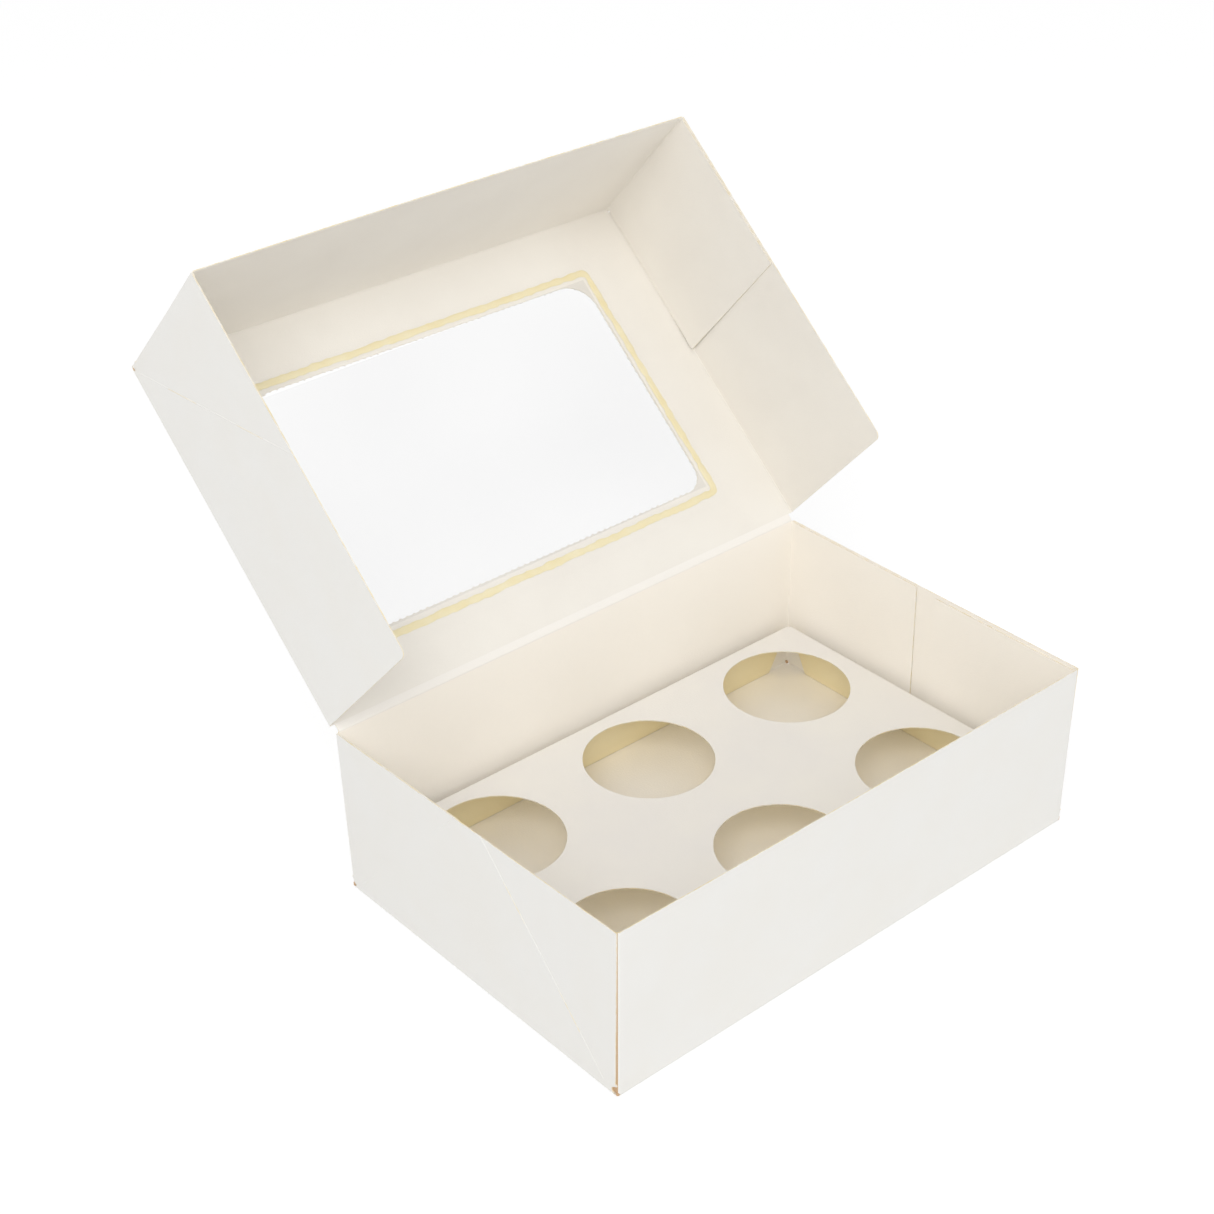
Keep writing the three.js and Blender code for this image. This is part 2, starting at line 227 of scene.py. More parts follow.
def rounded_off(distance, radius):
    """How far a round corner draws an edge back, at a distance from the corner."""
    if distance >= radius:
        return 0.0
    return radius - math.sqrt(radius**2 - (radius - distance) ** 2)


FOLD_ANGLES = [math.radians(15 * step) for step in range(7)]
SHEET_STEP = 4 * MM
CLEAN_ANGLE = math.radians(40)
WELD = 0.002 * MM


class Sheet:
    """One face of a folded card, gathered from patches that share their edges."""

    def __init__(self):
        self.points = []
        self.faces = []

    def patch(self, rows):
        """Quads over rows of points."""
        start = len(self.points)
        width = len(rows[0])
        for row in rows:
            self.points.extend(row)
        for row in range(len(rows) - 1):
            for column in range(width - 1):
                first = start + row * width + column
                self.faces.append((first, first + 1, first + width + 1, first + width))

    def ring(self, outer, inner, steps):
        """Quads between two closed loops with the same number of points."""
        rows = []
        for step in range(steps + 1):
            row = [a.lerp(b, step / steps) for a, b in zip(outer, inner)]
            rows.append(row + row[:1])
        self.patch(rows)

    def to_piece(self, name, finishes, thickness, known_point, known_normal):
        """A piece of card or film behind this face, which points the way that is known at one point.
        Its finishes are the outer face's, the inner face's and the cut edges'."""
        mesh = bpy.data.meshes.new(name)
        mesh.from_pydata(self.points, [], self.faces)
        made = bmesh.new()
        made.from_mesh(mesh)
        bmesh.ops.remove_doubles(made, verts=made.verts, dist=WELD)
        bmesh.ops.recalc_face_normals(made, faces=made.faces)
        nearest = min(made.faces, key=lambda face: (face.calc_center_median() - known_point).length)
        if nearest.normal.dot(known_normal) < 0:
            bmesh.ops.reverse_faces(made, faces=made.faces)
        made.to_mesh(mesh)
        made.free()
        for key in finishes:
            mesh.materials.append(finish(key))
        piece = add_piece(name, mesh)
        modifier = piece.modifiers.new("card", "SOLIDIFY")
        modifier.thickness = thickness
        modifier.offset = -1
        modifier.use_even_offset = True
        modifier.material_offset = 1
        modifier.material_offset_rim = 2
        bake(piece)
        return piece


def add_piece(name, mesh):
    piece = bpy.data.objects.new(name, mesh)
    bpy.context.scene.collection.objects.link(piece)
    return piece


def bake(piece):
    """Turns what the modifiers make into the piece's own mesh."""
    depsgraph = bpy.context.evaluated_depsgraph_get()
    made = bpy.data.meshes.new_from_object(
        piece.evaluated_get(depsgraph), preserve_all_data_layers=True, depsgraph=depsgraph)
    piece.modifiers.clear()
    piece.data = made
    made.name = piece.name


def soften(piece):
    """Smooth shading with clean edges where the card is cut."""
    piece.data.shade_smooth()
    piece.data.set_sharp_from_angle(angle=CLEAN_ANGLE)


def move_points(piece, place):
    for vertex in piece.data.vertices:
        vertex.co = place(*vertex.co)
    piece.data.update()


def rounded_loop(low, high, radii, counts):
    """A rectangle with round corners, from the middle of its first corner, anticlockwise.
    Each side, with half a corner at either end, has its own count of steps."""
    signs = ((-1, -1), (1, -1), (1, 1), (-1, 1))
    corners = []
    for (sign_x, sign_y), radius in zip(signs, radii):
        corners.append((
            (high[0] if sign_x > 0 else low[0]) - sign_x * radius,
            (high[1] if sign_y > 0 else low[1]) - sign_y * radius,
            radius))
    eighth = math.pi / 4
    points = []
    for side in range(4):
        centre_x, centre_y, radius = corners[side]
        next_x, next_y, next_radius = corners[(side + 1) % 4]
        middle = 5 * eighth + 2 * side * eighth
        straight = math.dist(
            (centre_x + radius * math.cos(middle + eighth), centre_y + radius * math.sin(middle + eighth)),
            (next_x + next_radius * math.cos(middle + eighth),
             next_y + next_radius * math.sin(middle + eighth)))
        whole = (radius + next_radius) * eighth + straight
        for step in range(counts[side]):
            run = whole * step / counts[side]
            if run <= radius * eighth or straight + radius * eighth < run:
                first = run <= radius * eighth
                x, y, bend = (centre_x, centre_y, radius) if first else (next_x, next_y, next_radius)
                turned = run / bend if first else (run - straight - radius * eighth) / bend + eighth
                turned += middle
            else:
                share = (run - radius * eighth) / straight
                turned = middle + eighth
                x, y, bend = (lerp(centre_x, next_x, share), lerp(centre_y, next_y, share),
                              lerp(radius, next_radius, share))
            points.append((x + bend * math.cos(turned), y + bend * math.sin(turned)))
    return points


def rectangle_loop(xs, ys):
    """The border points of a grid, from its first corner, anticlockwise."""
    loop = [(x, ys[0]) for x in xs[:-1]]
    loop += [(xs[-1], y) for y in ys[:-1]]
    loop += [(x, ys[-1]) for x in reversed(xs[1:])]
    loop += [(xs[0], y) for y in reversed(ys[1:])]
    return loop


# The cut edge of a side wall at a folded corner, as (height, distance from the corner) in
# millimetres: a slanted eye where three creases meet, a pinch above it, then a long slot.
CORNER_EYE = (
    (0, 1.9), (0.9, 2.3), (2.0, 3.1), (3.0, 3.2), (4.0, 1.9), (4.8, 0.45), (5.2, 0.45), (5.7, 1.2))
SLOT_TOP = 0.45
CORNER_ROWS = (1.2, 2.0, 3.0, 4.0, 4.8, 5.2, 5.7, 7.0)
EDGE_ROWS = (4.0, 3.0, 2.4, 1.8, 1.3, 0.9, 0.5, 0.2, 0.0)
TAB_SLANT = 1.2 * MM
TAB_FOOT = 1.2 * MM
TAB_CHAMFER = 1.6 * MM
TAB_CORNER = 1.0 * MM
TAB_CLEAR = 1.5  # chamfers from a tab's fold to its next column of points
TAB_CURL = 6  # the power by which a tab's free edge bends off the wall


def corner_cut(height, wall_height):
    stops = [(at * MM, cut * MM) for at, cut in CORNER_EYE] + [(wall_height, SLOT_TOP * MM)]
    return along_stops(height, stops)


def wall_rows(box):
    """Heights of a wall's rows, close together at its folds and its open edge."""
    low = [box.fold] + [at * MM for at in CORNER_ROWS]
    high = [box.height - at * MM for at in EDGE_ROWS]
    return low + spaced(low[-1], high[0], SHEET_STEP)[1:-1] + high


def card_box(card, half, front, back, height):
    """Lines that the patches of one folded box share. Heights run from the base's outer face."""
    box = SimpleNamespace(half=half, front=front, back=back, height=height, ends={-1: front, 1: back})
    box.fold = card.fold
    box.fold_x = half - card.fold
    box.tab_x = half - card.thickness - card.glue_gap
    box.wall_x = box.tab_x - card.fold
    box.wall_columns = spaced(-box.wall_x, box.wall_x, SHEET_STEP)
    box.base_columns = [-box.fold_x] + box.wall_columns + [box.fold_x]
    box.side_columns = spaced(0, 1, SHEET_STEP / (back - front))
    box.rows = wall_rows(box)
    box.front_cut = lambda at: corner_cut(at, height)
    box.back_cut = box.front_cut
    return box


def side_line(box, height, share):
    """A point's place along a side wall, between its two cut edges."""
    return lerp(box.front + box.front_cut(height), box.back - box.back_cut(height), share)


def base_lines(box):
    return [side_line(box, 0, share) for share in box.side_columns]


def add_base(sheet, box, place):
    lines = base_lines(box)
    sheet.patch([[place(x, y, 0) for x in box.base_columns] for y in lines])


def add_base_margin(sheet, box, place, end):
    """The base between its side folds' ends and an end wall's fold."""
    lines = base_lines(box)
    inner = lines[0] if end < 0 else lines[-1]
    outer = box.ends[end] - end * box.fold
    sheet.patch([[place(x, y, 0) for x in box.wall_columns] for y in (inner, outer)])


def add_end_wall(sheet, box, place, end):
    """A front or back wall, with the fold at its foot."""
    edge = box.ends[end]
    path = [(edge - end * box.fold * (1 - math.sin(turn)), box.fold * (1 - math.cos(turn)))
            for turn in FOLD_ANGLES]
    path += [(edge, height) for height in box.rows[1:]]
    sheet.patch([[place(x, y, height) for x in box.wall_columns] for y, height in path])


def add_side_wall(sheet, box, place, side):
    path = [(box.fold_x + box.fold * math.sin(turn), box.fold * (1 - math.cos(turn)), 0)
            for turn in FOLD_ANGLES]
    path += [(box.half, height, height) for height in box.rows[1:]]
    sheet.patch([[place(side * x, side_line(box, cut, share), height) for share in box.side_columns]
                 for x, height, cut in path])


def add_tab(sheet, box, place, side, end, tab_length, drop, lift):
    """An upright corner fold and the tab that it carries behind the side wall."""
    edge = box.ends[end]
    rows = [height for height in box.rows if height >= TAB_FOOT - WELD]
    fold_y = edge - end * box.fold
    shares = spaced(0, 1, SHEET_STEP / tab_length)
    chamfer = TAB_CHAMFER / tab_length
    shares = [0, chamfer] + [share for share in shares if share > TAB_CLEAR * chamfer]
    patch = []
    for height in rows:
        rise = (height - rows[0]) / (box.height - rows[0])
        run = tab_length - box.fold + TAB_SLANT * (1 - rise)
        to_edge = min(height - rows[0], box.height - height)
        run -= rounded_off(to_edge, TAB_CORNER)
        row = [place(side * (box.wall_x + box.fold * math.sin(turn)),
                     edge - end * box.fold * (1 - math.cos(turn)), height) for turn in FOLD_ANGLES]
        for share in shares[1:]:
            lowered = drop * min(1, share / chamfer) * rise
            stand = lift(rise) * share**TAB_CURL
            row.append(place(side * (box.tab_x - stand), fold_y - end * run * share, height - lowered))
        patch.append(row)
    sheet.patch(patch)


# The diagonal cut-creases of the side walls, from the corner where they start to the open edge,
# as (distance from the corner, height), and the heights between which they are cut through.
FRONT_DIAGONAL = SimpleNamespace(
    start=(3.9, 0.0), end=(71.4, 73.5), slits=((17.2, 29.3), (48.3, 60.5)))
BACK_DIAGONAL = SimpleNamespace(
    start=(3.0, 0.0), end=(70.5, 73.5), slits=())
TRAY_DIAGONALS = ((-1, FRONT_DIAGONAL), (1, BACK_DIAGONAL))
LID_DIAGONAL = SimpleNamespace(
    start=(1.0, 0.0), end=(76.0, 72.5), slits=((17.9, 31.0), (48.9, 60.4)))
LID_DIAGONALS = ((-1, LID_DIAGONAL),)
DIAGONAL_MARGIN = 4.0


def on_diagonal(box, end, diagonal, height):
    """The (y, height) of a point on a diagonal crease, at a height in millimetres."""
    share = height / diagonal.end[1]
    distance = lerp(diagonal.start[0], diagonal.end[0], share) * MM
    edge = box.ends[end]
    return edge - end * distance, height * MM


def slit_lines(box, diagonals):
    """The slits of both side walls, each as its two ends."""
    return [
        [Vector((side * box.half, *on_diagonal(box, end, diagonal, height))) for height in slit]
        for side in (-1, 1) for end, diagonal in diagonals for slit in diagonal.slits]


def slit_cutter(card, box, diagonals):
    """Thin bars that cut the side walls along their diagonals, but not the tabs behind them."""
    made = bmesh.new()
    inner = box.half - card.thickness - card.glue_gap / 2
    outer = box.half + card.thickness
    for ends in slit_lines(box, diagonals):
        side = math.copysign(1, ends[0].x)
        first, last = (point.yz for point in ends)
        across = (last - first).normalized().orthogonal() * card.slit / 2
        ring = [first + across, first - across, last - across, last + across]
        verts = [made.verts.new((side * x, y, height)) for x in (inner, outer) for y, height in ring]
        made.faces.new(verts[:4])
        made.faces.new(verts[4:])
        for corner in range(4):
            after = (corner + 1) % 4
            made.faces.new((verts[corner], verts[after], verts[after + 4], verts[corner + 4]))
    bmesh.ops.recalc_face_normals(made, faces=made.faces)
    mesh = bpy.data.meshes.new("slit_cutter")
    made.to_mesh(mesh)
    made.free()
    return add_piece("slit_cutter", mesh)


def cut_slits(piece, cutter):
    cutter.data.materials.append(finish("cut_edge"))
    modifier = piece.modifiers.new("slits", "BOOLEAN")
    modifier.operation = "DIFFERENCE"
    modifier.solver = "EXACT"
    modifier.material_mode = "TRANSFER"
    modifier.object = cutter
    bake(piece)
    bpy.data.objects.remove(cutter)


def embossed_lines(box, diagonals):
    """The stretches of the diagonals that are pressed and not cut, as pairs of points."""
    lines = []
    for side in (-1, 1):
        for end, diagonal in diagonals:
            stops = [DIAGONAL_MARGIN, *sum(diagonal.slits, ()), box.height / MM]
            for stretch in zip(stops[::2], stops[1::2]):
                lines.append([(side * box.half, *on_diagonal(box, end, diagonal, at)) for at in stretch])
    return lines


# SLOT_REACH and SLOT_SHOWN mark where the slot's painted shade goes: near an end wall, on a band across a
# tab's fold.
SLOT_REACH = 4 * MM
PINCH_REACH = (0.7 * MM, 0.5 * MM)  # below and above a tab's foot
SLOT_SHOWN = (0.85, 1.05)  # across a tab's fold, what a slot looks onto


def paint_tray(piece, box):
    """Paints shade where a corner slot looks onto a tab, and gives the inside above the rim the crease's
    colour, without the tray inside's painted light.
    """
    mesh = piece.data
    # raw is the material index of the slot's painted shade, rubbed that of the crease's colour.
    raw, rubbed = len(mesh.materials), len(mesh.materials) + 1
    for name in ("slot_card", "crease_card"):
        mesh.materials.append(finish(name))
    for face in mesh.polygons:
        x, y, height = face.center
        near_end = min(abs(y - box.front), abs(y - box.back)) < SLOT_REACH
        across = (abs(x) - box.wall_x) / box.fold
        on_tab = SLOT_SHOWN[0] < across <= SLOT_SHOWN[1]
        # Painted shade on the outer faces where a corner slot looks onto a tab.
        if face.material_index == 0 and near_end and on_tab and height > TAB_FOOT:
            face.material_index = raw
        # The inside above the rim takes the crease's colour in place of the tray inside's painted light.
        if face.material_index == 1 and height > box.height:
            face.material_index = rubbed


def inner_lines(card, box, ends):
    """The inside corners of a folded box's creases, as pairs of points."""
    depth = card.fold - (card.fold - card.thickness) * math.sqrt(0.5)
    near = box.front + box.front_cut(0) + card.fold
    far = box.back - box.back_cut(0) - card.fold
    lines = []
    for side in (-1, 1):
        x = side * (box.half - depth)
        lines.append([(x, near, depth), (x, far, depth)])
    for end in ends:
        y = box.ends[end] - end * depth
        lines.append([(-box.wall_x, y, depth), (box.wall_x, y, depth)])
        for side in (-1, 1):
            x = side * (box.wall_x + card.fold - depth)
            lines.append([(x, y, TAB_FOOT + card.fold), (x, y, box.height - card.fold)])
    return lines


FOOT_LINE_OUT = 0.1 * MM  # outward from the tab's plane
FOOT_LINE_DROP = 0.25 * MM  # below the tab's foot


def tab_foot_lines(box, tab_length):
    """Painted shade: dark lines along the foot of each front tab, in the gap between it and the base."""
    x = box.tab_x + FOOT_LINE_OUT
    height = TAB_FOOT - FOOT_LINE_DROP
    ends = (box.front + box.fold, box.front + tab_length)
    return [[(side * x, y, height) for y in ends] for side in (-1, 1)]


def pinch_lines(box, ends):
    """Short upright lines in the corners, where the folds pinch the card together; the tray's carry painted
    shade.
    """
    heights = (TAB_FOOT - PINCH_REACH[0], TAB_FOOT + PINCH_REACH[1])
    return [[(side * box.fold_x, box.ends[end] - end * box.fold, height) for height in heights]
            for side in (-1, 1) for end in ends]


def line_piece(name, points, edges):
    mesh = bpy.data.meshes.new(name)
    mesh.from_pydata(points, edges, [])
    return add_piece(name, mesh)


def loop_piece(name, loop, height):
    count = len(loop)
    return line_piece(name, [(x, y, height) for x, y in loop], [(i, (i + 1) % count) for i in range(count)])


def new_node(tree, kind, links=(), **settings):
    """A node with its settings, and its inputs linked or given values."""
    node = tree.nodes.new(kind)
    for key, value in settings.items():
        setattr(node, key, value)
    for key, source in links:
        if isinstance(source, bpy.types.NodeSocket):
            tree.links.new(source, node.inputs[key])
        else:
            node.inputs[key].default_value = source
    return node


def worked_out(tree, operation, first, second):
    """A sum on two numbers."""
    return new_node(tree, "ShaderNodeMath", [(0, first), (1, second)], operation=operation).outputs["Value"]


def worked_out_vector(tree, operation, first, second, key=1):
    """A sum on a vector and a second vector or number."""
    node = new_node(tree, "ShaderNodeVectorMath", [(0, first), (key, second)], operation=operation)
    return node.outputs["Vector"]


def noise_over(tree, place, scale, detail):
    return new_node(tree, "ShaderNodeTexNoise", [("Vector", place), ("Scale", scale), ("Detail", detail)])


def ranged(tree, value, to_low, to_high, low=0.0, high=1.0):
    """A number brought from one range to another."""
    node = new_node(tree, "ShaderNodeMapRange", [
        ("Value", value), ("From Min", low), ("From Max", high), ("To Min", to_low), ("To Max", to_high)])
    return node.outputs["Result"]


NOISE_RANGE = (0.3, 0.7)  # where most of a noise texture's values lie


def new_tree(name, sockets):
    """A Geometry Nodes tree with named inputs, which works along the lines that it is given."""
    tree = bpy.data.node_groups.new(name, "GeometryNodeTree")
    for label, kind in (("Geometry", "Geometry"), *sockets, ("Material", "Material")):
        tree.interface.new_socket(label, in_out="INPUT", socket_type="NodeSocket" + kind)
    tree.interface.new_socket("Geometry", in_out="OUTPUT", socket_type="NodeSocketGeometry")
    given = tree.nodes.new("NodeGroupInput").outputs
    curve = new_node(tree, "GeometryNodeMeshToCurve", [("Mesh", given["Geometry"])])
    return tree, given, curve.outputs["Curve"]


def end_tree(tree, geometry, material):
    """Every tree ends the same way: real geometry, with its material."""
    realized = new_node(tree, "GeometryNodeRealizeInstances", [("Geometry", geometry)])
    painted = new_node(tree, "GeometryNodeSetMaterial", [
        ("Geometry", realized.outputs["Geometry"]), ("Material", material)])
    new_node(tree, "NodeGroupOutput", [("Geometry", painted.outputs["Geometry"])])
    return tree


def run_tree(piece, tree, values):
    modifier = piece.modifiers.new(tree.name, "NODES")
    modifier.node_group = tree
    for item in tree.interface.items_tree:
        if item.item_type == "SOCKET" and item.in_out == "INPUT" and item.name in values:
            modifier[item.identifier] = values[item.name]
    bake(piece)


BEAD_SIDES = 10


def bead_tree():
    """A round bead along each line, for the ridges of the creases."""
    tree, given, curve = new_tree("Crease bead", [("Radius", "Float")])
    section = new_node(tree, "GeometryNodeCurvePrimitiveCircle", [
        ("Resolution", BEAD_SIDES), ("Radius", given["Radius"])])
    bead = new_node(tree, "GeometryNodeCurveToMesh", [
        ("Curve", curve), ("Profile Curve", section.outputs["Curve"]), ("Fill Caps", True)])
    return end_tree(tree, bead.outputs["Mesh"], given["Material"])


NICK_SIDES = 14
NICK_SIZES = ((0.75, 0.75, 1.0), (1.15, 1.15, 1.0))  # the least and the most, along x, y and z


def nick_tree():
    """Small round nicks along a loop, each a little larger or smaller than the next."""
    tree, given, curve = new_tree("Die nicks", [
        ("Pitch", "Float"), ("Radius", "Float"), ("Thickness", "Float"), ("Seed", "Int")])
    points = new_node(
        tree, "GeometryNodeCurveToPoints", [("Curve", curve), ("Length", given["Pitch"])], mode="LENGTH")
    nick = new_node(tree, "GeometryNodeMeshCylinder", [
        ("Vertices", NICK_SIDES), ("Radius", given["Radius"]), ("Depth", given["Thickness"])])
    size = new_node(tree, "FunctionNodeRandomValue", [
        ("Min", NICK_SIZES[0]), ("Max", NICK_SIZES[1]), ("Seed", given["Seed"])], data_type="FLOAT_VECTOR")
    placed = new_node(tree, "GeometryNodeInstanceOnPoints", [
        ("Points", points.outputs["Points"]), ("Instance", nick.outputs["Mesh"]),
        ("Scale", size.outputs["Value"])])
    return end_tree(tree, placed.outputs["Instances"], given["Material"])


GLUE_SIDES = 12
GLUE_DRIFT = (90.0, 2.0)  # scale and detail of the noise that moves the run from side to side
GLUE_SWELL = (260.0, 3.0)  # and of the noise that widens and narrows it
GLUE_WIDTHS = (0.72, 1.25)


def glue_tree():
    """A flat, ragged run of glue along a loop, wider in some places than in others."""
    tree, given, curve = new_tree("Glue run", [
        ("Width", "Float"), ("Flatness", "Float"), ("Wander", "Float"), ("Step", "Float")])
    stepped = new_node(
        tree, "GeometryNodeResampleCurve", [("Curve", curve), ("Length", given["Step"])], mode="LENGTH")
    place = tree.nodes.new("GeometryNodeInputPosition").outputs["Position"]
    drift = noise_over(tree, place, *GLUE_DRIFT).outputs["Color"]
    centred = worked_out_vector(tree, "SUBTRACT", drift, (0.5, 0.5, 0.5))
    flat = worked_out_vector(tree, "MULTIPLY", centred, (1.0, 1.0, 0.0))
    offset = worked_out_vector(tree, "SCALE", flat, given["Wander"], "Scale")
    moved = new_node(tree, "GeometryNodeSetPosition", [
        ("Geometry", stepped.outputs["Curve"]), ("Offset", offset)])
    width = ranged(tree, noise_over(tree, place, *GLUE_SWELL).outputs["Fac"], *GLUE_WIDTHS, *NOISE_RANGE)
    section = new_node(tree, "GeometryNodeCurvePrimitiveCircle", [
        ("Resolution", GLUE_SIDES), ("Radius", given["Width"])])
    # The circle's radius is the run's whole width, so its scale across is a half
    shape = new_node(tree, "ShaderNodeCombineXYZ", [("X", 0.5), ("Y", given["Flatness"]), ("Z", 1.0)])
    flattened = new_node(tree, "GeometryNodeTransform", [
        ("Geometry", section.outputs["Curve"]), ("Scale", shape.outputs["Vector"])])
    run = new_node(tree, "GeometryNodeCurveToMesh", [
        ("Curve", moved.outputs["Geometry"]), ("Profile Curve", flattened.outputs["Geometry"]),
        ("Scale", width)])
    return end_tree(tree, run.outputs["Mesh"], given["Material"])


# For the fibres and for the broad patches: the size's input, the detail and the stretch
GRAIN_FIELDS = {
    "Fibres": ("Fibre Size", 4.0, (1.0, 0.55, 1.0)),
    "Patches": ("Patch Size", 2.0, (1.0, 1.0, 1.0)),
}


def grain_group():
    """Fibres and broad patches of card, shared by every card finish."""
    group = bpy.data.node_groups.get("Card grain")
    if group:
        return group
    group = bpy.data.node_groups.new("Card grain", "ShaderNodeTree")
    for label, kind in (("Vector", "Vector"), ("Fibre Size", "Float"), ("Patch Size", "Float")):
        group.interface.new_socket(label, in_out="INPUT", socket_type="NodeSocket" + kind)
    for label in GRAIN_FIELDS:
        group.interface.new_socket(label, in_out="OUTPUT", socket_type="NodeSocketFloat")
    given = group.nodes.new("NodeGroupInput").outputs
    last = group.nodes.new("NodeGroupOutput")
    for label, (size, detail, stretch) in GRAIN_FIELDS.items():
        rate = worked_out(group, "DIVIDE", 1.0, given[size])
        stretched = worked_out_vector(group, "MULTIPLY", given["Vector"], stretch)
        field = noise_over(group, stretched, rate, detail).outputs["Fac"]
        group.links.new(ranged(group, field, 0.0, 1.0, *NOISE_RANGE), last.inputs[label])
    return group


def new_material(name):
    """A material, its node tree and its shader."""
    material = bpy.data.materials.new(name)
    material.use_nodes = True
    return material, material.node_tree, material.node_tree.nodes["Principled BSDF"]


def surface_place(tree, kind="Object"):
    return tree.nodes.new("ShaderNodeTexCoord").outputs[kind]


def mottle(tree, shader, share, colours):
    """Mixes two of the box's colours by a share that changes over the surface."""
    tint = new_node(tree, "ShaderNodeMix", data_type="RGBA")
    tree.links.new(share, tint.inputs["Factor"])
    for socket, key in zip("AB", colours):
        tint.inputs[socket].default_value = finish_colour(key)
    tree.links.new(tint.outputs["Result"], shader.inputs["Base Color"])


def relief(tree, shader, height, depth):
    bump = new_node(tree, "ShaderNodeBump", [("Height", height), ("Distance", depth)])
    tree.links.new(bump.outputs["Normal"], shader.inputs["Normal"])


def finish_colour(key):
    """One of the box's colours, as the light that a shader works in."""
    return tuple(
        part / 12.92 if part <= 0.04045 else ((part + 0.055) / 1.055) ** 2.4
        for part in getattr(bpy.context.scene.box_finishes, key)) + (1.0,)


def finish(name):
    """The named finish, made the first time that it is asked for."""
    made = bpy.data.materials.get(name)
    return made if made else FINISH_MAKERS.get(name, card_finish)(name)


# Two colours, the size of the fibres, of the patches and of the relief in millimetres, roughness, shine
CARD_FINISHES = {
    "outside_card": (("outside", "outside_patch"), 0.5, 22, 0.02, 0.5, 0.4),
    "inside_card": (("inside", "inside_patch"), 0.6, 35, 0.035, 0.75, 0.2),
    # The tray's inside, with painted light in its colour.
    "tray_inside": (("tray_inside", "tray_inside"), 0.6, 35, 0.035, 0.75, 0.2),
    "crease_card": (("crease", "crease"), 0.6, 35, 0.035, 0.75, 0.2),
    "insert_top": (("insert_top", "inside_patch"), 0.6, 40, 0.03, 0.65, 0.25),
    # The insert's underside, with painted light in its colour.
    "insert_underside": (("insert_under", "insert_under"), 0.6, 30, 0.035, 0.8, 0.15),
    "cut_edge": (("cut_edge", "inside_patch"), 0.3, 3, 0.04, 0.85, 0.1),
    # Painted shade, with the slot colour.
    "slot_card": (("slot", "slot"), 0.3, 3, 0.04, 0.85, 0.1),
}
ROUGHNESS_SWING = 0.06


def card_finish(name):
    """Card with fibres in its relief and faint broad patches in its colour."""
    colours, fibre_size, patch_size, depth, roughness, shine = CARD_FINISHES[name]
    material, tree, shader = new_material(name)
    grain = new_node(tree, "ShaderNodeGroup", node_tree=grain_group())
    tree.links.new(surface_place(tree), grain.inputs["Vector"])
    grain.inputs["Fibre Size"].default_value = fibre_size * MM
    grain.inputs["Patch Size"].default_value = patch_size * MM
    mottle(tree, shader, grain.outputs["Patches"], colours)
    rough = ranged(tree, grain.outputs["Fibres"], roughness - ROUGHNESS_SWING, roughness + ROUGHNESS_SWING)
    tree.links.new(rough, shader.inputs["Roughness"])
    relief(tree, shader, grain.outputs["Fibres"], depth * MM)
    shader.inputs["Specular IOR Level"].default_value = shine
    return material


FILM_NOISE = (9.0, 1.0)  # scale and detail
FILM_VEIL = (0.035, 0.065)
FILM_OVER_CARD = 0.05  # how much of the veil shows where the film lies on the panel
FILM_GLOSS = 0.08
FILM_IOR = 1.5
GLUE_CLOTS = (180.0, 3.0)  # scale and detail
GLUE_GLOSS = 0.35
GLUE_RELIEF = 0.1 * MM


def film_finish(name):
    """Clear film: mostly see-through, with a faint veil that varies over the opening."""
    material, tree, shader = new_material(name)
    place = surface_place(tree)
    amount = ranged(tree, noise_over(tree, place, *FILM_NOISE).outputs["Fac"], *FILM_VEIL, *NOISE_RANGE)
    window = settings().window
    depths = (window.margin, window.margin + window.size_y)
    bottom, top = (open_lid(0, -depth, 0).z for depth in depths)
    axes = new_node(tree, "ShaderNodeSeparateXYZ", [("Vector", place)]).outputs
    inside = 1.0
    for axis, way, edge in (
            ("X", "GREATER_THAN", -window.size_x / 2), ("X", "LESS_THAN", window.size_x / 2),
            ("Z", "GREATER_THAN", bottom), ("Z", "LESS_THAN", top)):
        inside = worked_out(tree, "MULTIPLY", inside, worked_out(tree, way, axes[axis], edge))
    alpha = worked_out(tree, "MULTIPLY", amount, ranged(tree, inside, FILM_OVER_CARD, 1.0))
    tree.links.new(alpha, shader.inputs["Alpha"])
    shader.inputs["Base Color"].default_value = finish_colour("film")
    shader.inputs["Roughness"].default_value = FILM_GLOSS
    shader.inputs["IOR"].default_value = FILM_IOR
    return material


def glue_finish(name):
    """Dried glue: pale yellow, thicker and deeper in colour in some places."""
    material, tree, shader = new_material(name)
    clots = noise_over(tree, surface_place(tree), *GLUE_CLOTS).outputs["Fac"]
    mottle(tree, shader, clots, ("glue", "glue_deep"))
    relief(tree, shader, clots, GLUE_RELIEF)
    shader.inputs["Roughness"].default_value = GLUE_GLOSS
    return material


FINISH_MAKERS = {"thin_film": film_finish, "yellow_glue": glue_finish}


def settings():
    """All sizes of the scene in one place."""
    scene = bpy.context.scene
    return SimpleNamespace(
        card=scene.box_card, tray=scene.box_tray, lid=scene.box_lid,
        window=scene.box_window, insert=scene.box_insert)


def open_lid(x, y, z):
    """From the closed lid's own frame, hinge at its origin, to the lid as it stands open."""
    lid = settings().lid
    turn = CLOSED_ANGLE + lid.twist * x / (lid.size_x / 2)
    return Vector((
        x,
        HINGE["pos_m"][1] + y * math.cos(turn) + z * math.sin(turn),
        HINGE["pos_m"][2] - y * math.sin(turn) + z * math.cos(turn)))


def tray_box():
    sizes = settings()
    half_depth = sizes.tray.size_y / 2
    return card_box(sizes.card, sizes.tray.size_x / 2, -half_depth, half_depth, sizes.tray.height)


